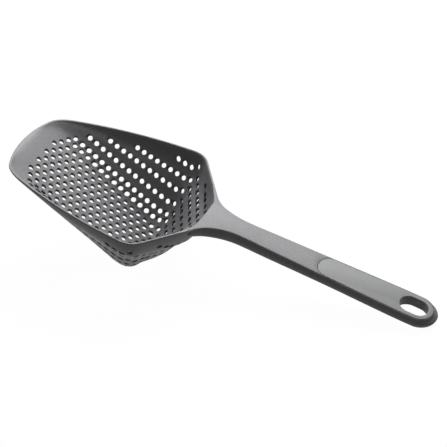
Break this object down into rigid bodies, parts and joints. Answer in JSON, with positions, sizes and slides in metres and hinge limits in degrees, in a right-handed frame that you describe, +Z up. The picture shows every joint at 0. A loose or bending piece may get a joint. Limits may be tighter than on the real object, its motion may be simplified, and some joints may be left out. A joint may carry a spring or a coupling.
{
  "type": "slotted scoop spoon",
  "caption": "Deep perforated scoop spoon with a straight flat-topped handle, soft grip panel and hanging slot, resting on bowl and handle end.",
  "frame": {"origin": "middle of the footprint box, on the surface on which the spoon rests", "axes": "+Z up, +X towards the handle's end, +Y across the bowl; the spoon stands on the bowl's deep edge and the underside of the handle's end"},
  "size_m": [0.3628, 0.1348, 0.0862],
  "materials": {
    "moulded_nylon": "satin",
    "soft_touch": "matte"
  },
  "bodies": {
    "root": {"scoop_moulding": "moulded_nylon", "grip_panel": "soft_touch"}
  },
  "joints": []
}
